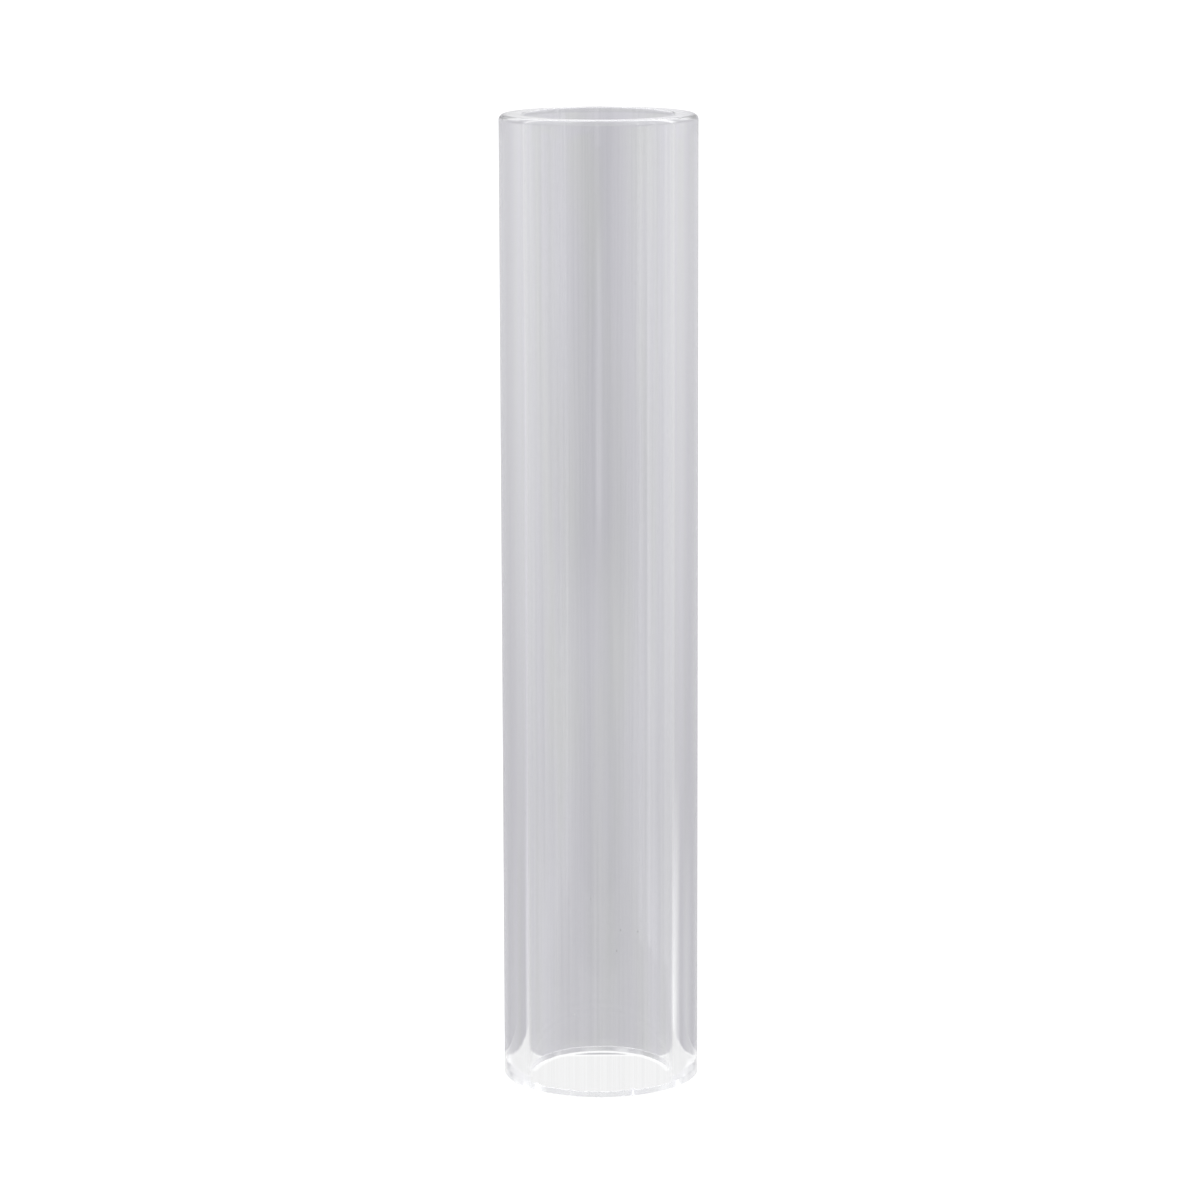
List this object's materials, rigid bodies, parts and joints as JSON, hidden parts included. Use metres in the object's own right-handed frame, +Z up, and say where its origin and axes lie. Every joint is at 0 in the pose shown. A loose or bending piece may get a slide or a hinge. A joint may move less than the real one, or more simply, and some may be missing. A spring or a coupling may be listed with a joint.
{
  "type": "heavy wall glass tube",
  "caption": "Straight clear heavy-wall glass tube, open at both ends, with a flame-polished rim and a flat sawn foot that it stands on.",
  "frame": {"origin": "on the tube's axis, in the plane of the foot that it stands on", "axes": "+Z up along the tube's axis, from the sawn foot to the flame-polished rim; X and Y are any two directions across it, because the tube is round"},
  "size_m": [0.04, 0.04, 0.198],
  "materials": {
    "clear_glass": "clear drawn glass with faint draw lines, a flame-polished rim and a sawn foot edge"
  },
  "bodies": {
    "root": {"glass_tube": "clear_glass"}
  },
  "joints": []
}
